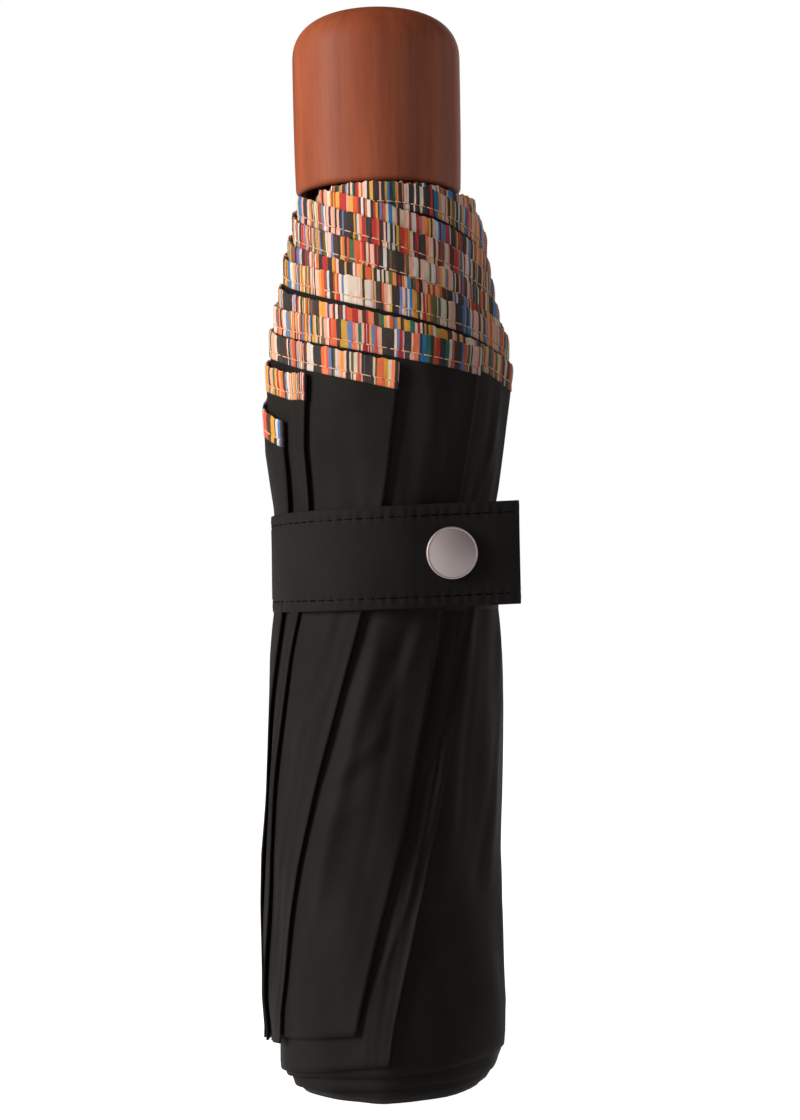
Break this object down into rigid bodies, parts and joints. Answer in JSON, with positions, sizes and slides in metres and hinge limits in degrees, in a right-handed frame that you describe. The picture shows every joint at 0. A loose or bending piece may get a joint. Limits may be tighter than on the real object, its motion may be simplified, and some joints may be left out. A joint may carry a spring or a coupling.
{
  "type": "folding umbrella",
  "caption": "Compact folding umbrella, closed and wound, with a turned wooden handle, a dark cloth canopy with a multicolour hem, and a snap tie strap.",
  "frame": {"origin": "centre of the ferrule's flat end, on the shaft's axis", "axes": "+Z along the shaft, from the ferrule up to the handle; -Y is the front, where the snap is; +X is to the right of it"},
  "size_m": [0.0674, 0.0636, 0.28],
  "materials": {
    "handle_wood": "satin varnish",
    "canopy_cloth": "fine plain weave, dull",
    "hem_cloth": "multicolour striped ribbon",
    "strap_cloth": "fine plain weave, dull",
    "snap_metal": "satin nickel plate",
    "shaft_steel": "bright drawn tube",
    "rib_steel": "black enamel",
    "black_plastic": "moulded"
  },
  "bodies": {
    "shaft_root": {"ferrule_cap": "black_plastic", "crown_notch": "black_plastic", "crown_wire": "shaft_steel", "top_tube": "shaft_steel", "crown_cloth": "canopy_cloth"},
    "middle_tube": {"middle_tube": "shaft_steel"},
    "handle_and_lower_tube": {"lower_tube": "shaft_steel", "handle": "handle_wood", "handle_collar": "shaft_steel"},
    "runner": {"runner": "black_plastic", "runner_wire": "shaft_steel"},
    "strap_tail": {"strap_tail": "strap_cloth", "snap_cap": "snap_metal"},
    "inner_rib_1": {"inner_rib_1": "rib_steel"},
    "middle_rib_1": {"middle_rib_1": "rib_steel"},
    "outer_rib_1": {"outer_rib_1": "rib_steel", "canopy_gore_1": "canopy_cloth"},
    "stretcher_1": {"stretcher_1": "rib_steel"},
    "inner_rib_2": {"inner_rib_2": "rib_steel"},
    "middle_rib_2": {"middle_rib_2": "rib_steel"},
    "outer_rib_2": {"outer_rib_2": "rib_steel", "canopy_gore_2": "canopy_cloth"},
    "stretcher_2": {"stretcher_2": "rib_steel"},
    "inner_rib_3": {"inner_rib_3": "rib_steel"},
    "middle_rib_3": {"middle_rib_3": "rib_steel"},
    "outer_rib_3": {"outer_rib_3": "rib_steel", "canopy_gore_3": "canopy_cloth"},
    "stretcher_3": {"stretcher_3": "rib_steel"},
    "inner_rib_4": {"inner_rib_4": "rib_steel"},
    "middle_rib_4": {"middle_rib_4": "rib_steel"},
    "outer_rib_4": {"outer_rib_4": "rib_steel", "canopy_gore_4": "canopy_cloth"},
    "stretcher_4": {"stretcher_4": "rib_steel"},
    "inner_rib_5": {"inner_rib_5": "rib_steel"},
    "middle_rib_5": {"middle_rib_5": "rib_steel"},
    "outer_rib_5": {"outer_rib_5": "rib_steel", "canopy_gore_5": "canopy_cloth", "strap_band": "strap_cloth", "snap_stud": "snap_metal"},
    "stretcher_5": {"stretcher_5": "rib_steel"},
    "inner_rib_6": {"inner_rib_6": "rib_steel"},
    "middle_rib_6": {"middle_rib_6": "rib_steel"},
    "outer_rib_6": {"outer_rib_6": "rib_steel", "canopy_gore_6": "canopy_cloth"},
    "stretcher_6": {"stretcher_6": "rib_steel"},
    "inner_rib_7": {"inner_rib_7": "rib_steel"},
    "middle_rib_7": {"middle_rib_7": "rib_steel"},
    "outer_rib_7": {"outer_rib_7": "rib_steel", "canopy_gore_7": "canopy_cloth"},
    "stretcher_7": {"stretcher_7": "rib_steel"},
    "inner_rib_8": {"inner_rib_8": "rib_steel"},
    "middle_rib_8": {"middle_rib_8": "rib_steel"},
    "outer_rib_8": {"outer_rib_8": "rib_steel", "canopy_gore_8": "canopy_cloth"},
    "stretcher_8": {"stretcher_8": "rib_steel"}
  },
  "joints": [
    {"name": "middle_tube_slide", "type": "slide", "parent": "shaft_root", "child": "middle_tube", "axis": [0, 0, 1], "range_m": [0, 0.15]},
    {"name": "lower_tube_slide", "type": "slide", "parent": "middle_tube", "child": "handle_and_lower_tube", "axis": [0, 0, 1], "range_m": [0, 0.15]},
    {"name": "runner_slide", "type": "slide", "parent": "shaft_root", "child": "runner", "axis": [0, 0, -1], "range_m": [0, 0.1392], "deforming": ["strap_band", "strap_tail", "canopy_gore_1", "canopy_gore_2", "canopy_gore_3", "canopy_gore_4", "canopy_gore_5", "canopy_gore_6", "canopy_gore_7", "canopy_gore_8"]},
    {"name": "strap_tail_swing", "type": "hinge", "parent": "outer_rib_5", "child": "strap_tail", "pos_m": [-0.03, 0, 0.137], "axis": [0, 0, -1], "range_deg": [0, 150]},
    {"name": "inner_rib_hinge_1", "type": "hinge", "parent": "shaft_root", "child": "inner_rib_1", "pos_m": [0.00688, 0.00128, 0.014], "axis": [-0.1822, 0.9833, 0], "range_deg": [0, 76.42]},
    {"name": "middle_rib_hinge_1", "type": "hinge", "parent": "inner_rib_1", "child": "middle_rib_1", "pos_m": [0.01219, 0.00226, 0.21], "axis": [-0.1822, 0.9833, 0], "range_deg": [-184.68, 0]},
    {"name": "outer_rib_hinge_1", "type": "hinge", "parent": "middle_rib_1", "child": "outer_rib_1", "pos_m": [0.01455, 0.0027, 0.024], "axis": [-0.1822, 0.9833, 0], "range_deg": [0, 171.75]},
    {"name": "stretcher_hinge_1", "type": "hinge", "parent": "runner", "child": "stretcher_1", "pos_m": [0.00846, 0.00157, 0.198], "axis": [-0.1822, 0.9833, 0], "range_deg": [-73.23, 0]},
    {"name": "inner_rib_hinge_2", "type": "hinge", "parent": "shaft_root", "child": "inner_rib_2", "pos_m": [0.00396, 0.00577, 0.014], "axis": [-0.8241, 0.5664, 0], "range_deg": [0, 76.42]},
    {"name": "middle_rib_hinge_2", "type": "hinge", "parent": "inner_rib_2", "child": "middle_rib_2", "pos_m": [0.00702, 0.01022, 0.21], "axis": [-0.8241, 0.5664, 0], "range_deg": [-184.68, 0]},
    {"name": "outer_rib_hinge_2", "type": "hinge", "parent": "middle_rib_2", "child": "outer_rib_2", "pos_m": [0.00838, 0.0122, 0.024], "axis": [-0.8241, 0.5664, 0], "range_deg": [0, 171.75]},
    {"name": "stretcher_hinge_2", "type": "hinge", "parent": "runner", "child": "stretcher_2", "pos_m": [0.00487, 0.00709, 0.198], "axis": [-0.8241, 0.5664, 0], "range_deg": [-73.23, 0]},
    {"name": "inner_rib_hinge_3", "type": "hinge", "parent": "shaft_root", "child": "inner_rib_3", "pos_m": [-0.00128, 0.00688, 0.014], "axis": [-0.9833, -0.1822, 0], "range_deg": [0, 76.42]},
    {"name": "middle_rib_hinge_3", "type": "hinge", "parent": "inner_rib_3", "child": "middle_rib_3", "pos_m": [-0.00226, 0.01219, 0.21], "axis": [-0.9833, -0.1822, 0], "range_deg": [-184.68, 0]},
    {"name": "outer_rib_hinge_3", "type": "hinge", "parent": "middle_rib_3", "child": "outer_rib_3", "pos_m": [-0.0027, 0.01455, 0.024], "axis": [-0.9833, -0.1822, 0], "range_deg": [0, 171.75]},
    {"name": "stretcher_hinge_3", "type": "hinge", "parent": "runner", "child": "stretcher_3", "pos_m": [-0.00157, 0.00846, 0.198], "axis": [-0.9833, -0.1822, 0], "range_deg": [-73.23, 0]},
    {"name": "inner_rib_hinge_4", "type": "hinge", "parent": "shaft_root", "child": "inner_rib_4", "pos_m": [-0.00577, 0.00396, 0.014], "axis": [-0.5664, -0.8241, 0], "range_deg": [0, 76.42]},
    {"name": "middle_rib_hinge_4", "type": "hinge", "parent": "inner_rib_4", "child": "middle_rib_4", "pos_m": [-0.01022, 0.00702, 0.21], "axis": [-0.5664, -0.8241, 0], "range_deg": [-184.68, 0]},
    {"name": "outer_rib_hinge_4", "type": "hinge", "parent": "middle_rib_4", "child": "outer_rib_4", "pos_m": [-0.0122, 0.00838, 0.024], "axis": [-0.5664, -0.8241, 0], "range_deg": [0, 171.75]},
    {"name": "stretcher_hinge_4", "type": "hinge", "parent": "runner", "child": "stretcher_4", "pos_m": [-0.00709, 0.00487, 0.198], "axis": [-0.5664, -0.8241, 0], "range_deg": [-73.23, 0]},
    {"name": "inner_rib_hinge_5", "type": "hinge", "parent": "shaft_root", "child": "inner_rib_5", "pos_m": [-0.00688, -0.00128, 0.014], "axis": [0.1822, -0.9833, 0], "range_deg": [0, 76.42]},
    {"name": "middle_rib_hinge_5", "type": "hinge", "parent": "inner_rib_5", "child": "middle_rib_5", "pos_m": [-0.01219, -0.00226, 0.21], "axis": [0.1822, -0.9833, 0], "range_deg": [-184.68, 0]},
    {"name": "outer_rib_hinge_5", "type": "hinge", "parent": "middle_rib_5", "child": "outer_rib_5", "pos_m": [-0.01455, -0.0027, 0.024], "axis": [0.1822, -0.9833, 0], "range_deg": [0, 171.75]},
    {"name": "stretcher_hinge_5", "type": "hinge", "parent": "runner", "child": "stretcher_5", "pos_m": [-0.00846, -0.00157, 0.198], "axis": [0.1822, -0.9833, 0], "range_deg": [-73.23, 0]},
    {"name": "inner_rib_hinge_6", "type": "hinge", "parent": "shaft_root", "child": "inner_rib_6", "pos_m": [-0.00396, -0.00577, 0.014], "axis": [0.8241, -0.5664, 0], "range_deg": [0, 76.42]},
    {"name": "middle_rib_hinge_6", "type": "hinge", "parent": "inner_rib_6", "child": "middle_rib_6", "pos_m": [-0.00702, -0.01022, 0.21], "axis": [0.8241, -0.5664, 0], "range_deg": [-184.68, 0]},
    {"name": "outer_rib_hinge_6", "type": "hinge", "parent": "middle_rib_6", "child": "outer_rib_6", "pos_m": [-0.00838, -0.0122, 0.024], "axis": [0.8241, -0.5664, 0], "range_deg": [0, 171.75]},
    {"name": "stretcher_hinge_6", "type": "hinge", "parent": "runner", "child": "stretcher_6", "pos_m": [-0.00487, -0.00709, 0.198], "axis": [0.8241, -0.5664, 0], "range_deg": [-73.23, 0]},
    {"name": "inner_rib_hinge_7", "type": "hinge", "parent": "shaft_root", "child": "inner_rib_7", "pos_m": [0.00128, -0.00688, 0.014], "axis": [0.9833, 0.1822, 0], "range_deg": [0, 76.42]},
    {"name": "middle_rib_hinge_7", "type": "hinge", "parent": "inner_rib_7", "child": "middle_rib_7", "pos_m": [0.00226, -0.01219, 0.21], "axis": [0.9833, 0.1822, 0], "range_deg": [-184.68, 0]},
    {"name": "outer_rib_hinge_7", "type": "hinge", "parent": "middle_rib_7", "child": "outer_rib_7", "pos_m": [0.0027, -0.01455, 0.024], "axis": [0.9833, 0.1822, 0], "range_deg": [0, 171.75]},
    {"name": "stretcher_hinge_7", "type": "hinge", "parent": "runner", "child": "stretcher_7", "pos_m": [0.00157, -0.00846, 0.198], "axis": [0.9833, 0.1822, 0], "range_deg": [-73.23, 0]},
    {"name": "inner_rib_hinge_8", "type": "hinge", "parent": "shaft_root", "child": "inner_rib_8", "pos_m": [0.00577, -0.00396, 0.014], "axis": [0.5664, 0.8241, 0], "range_deg": [0, 76.42]},
    {"name": "middle_rib_hinge_8", "type": "hinge", "parent": "inner_rib_8", "child": "middle_rib_8", "pos_m": [0.01022, -0.00702, 0.21], "axis": [0.5664, 0.8241, 0], "range_deg": [-184.68, 0]},
    {"name": "outer_rib_hinge_8", "type": "hinge", "parent": "middle_rib_8", "child": "outer_rib_8", "pos_m": [0.0122, -0.00838, 0.024], "axis": [0.5664, 0.8241, 0], "range_deg": [0, 171.75]},
    {"name": "stretcher_hinge_8", "type": "hinge", "parent": "runner", "child": "stretcher_8", "pos_m": [0.00709, -0.00487, 0.198], "axis": [0.5664, 0.8241, 0], "range_deg": [-73.23, 0]}
  ],
  "couplings": [
    {"joint": "inner_rib_hinge_1", "follows": "runner_slide", "rad_per_m": 9.5819},
    {"joint": "middle_rib_hinge_1", "follows": "runner_slide", "rad_per_m": -23.156},
    {"joint": "outer_rib_hinge_1", "follows": "runner_slide", "rad_per_m": 21.534},
    {"joint": "stretcher_hinge_1", "follows": "runner_slide", "rad_per_m": -9.1815},
    {"joint": "inner_rib_hinge_2", "follows": "runner_slide", "rad_per_m": 9.5819},
    {"joint": "middle_rib_hinge_2", "follows": "runner_slide", "rad_per_m": -23.156},
    {"joint": "outer_rib_hinge_2", "follows": "runner_slide", "rad_per_m": 21.534},
    {"joint": "stretcher_hinge_2", "follows": "runner_slide", "rad_per_m": -9.1815},
    {"joint": "inner_rib_hinge_3", "follows": "runner_slide", "rad_per_m": 9.5819},
    {"joint": "middle_rib_hinge_3", "follows": "runner_slide", "rad_per_m": -23.156},
    {"joint": "outer_rib_hinge_3", "follows": "runner_slide", "rad_per_m": 21.534},
    {"joint": "stretcher_hinge_3", "follows": "runner_slide", "rad_per_m": -9.1815},
    {"joint": "inner_rib_hinge_4", "follows": "runner_slide", "rad_per_m": 9.5819},
    {"joint": "middle_rib_hinge_4", "follows": "runner_slide", "rad_per_m": -23.156},
    {"joint": "outer_rib_hinge_4", "follows": "runner_slide", "rad_per_m": 21.534},
    {"joint": "stretcher_hinge_4", "follows": "runner_slide", "rad_per_m": -9.1815},
    {"joint": "inner_rib_hinge_5", "follows": "runner_slide", "rad_per_m": 9.5819},
    {"joint": "middle_rib_hinge_5", "follows": "runner_slide", "rad_per_m": -23.156},
    {"joint": "outer_rib_hinge_5", "follows": "runner_slide", "rad_per_m": 21.534},
    {"joint": "stretcher_hinge_5", "follows": "runner_slide", "rad_per_m": -9.1815},
    {"joint": "inner_rib_hinge_6", "follows": "runner_slide", "rad_per_m": 9.5819},
    {"joint": "middle_rib_hinge_6", "follows": "runner_slide", "rad_per_m": -23.156},
    {"joint": "outer_rib_hinge_6", "follows": "runner_slide", "rad_per_m": 21.534},
    {"joint": "stretcher_hinge_6", "follows": "runner_slide", "rad_per_m": -9.1815},
    {"joint": "inner_rib_hinge_7", "follows": "runner_slide", "rad_per_m": 9.5819},
    {"joint": "middle_rib_hinge_7", "follows": "runner_slide", "rad_per_m": -23.156},
    {"joint": "outer_rib_hinge_7", "follows": "runner_slide", "rad_per_m": 21.534},
    {"joint": "stretcher_hinge_7", "follows": "runner_slide", "rad_per_m": -9.1815},
    {"joint": "inner_rib_hinge_8", "follows": "runner_slide", "rad_per_m": 9.5819},
    {"joint": "middle_rib_hinge_8", "follows": "runner_slide", "rad_per_m": -23.156},
    {"joint": "outer_rib_hinge_8", "follows": "runner_slide", "rad_per_m": 21.534},
    {"joint": "stretcher_hinge_8", "follows": "runner_slide", "rad_per_m": -9.1815}
  ]
}
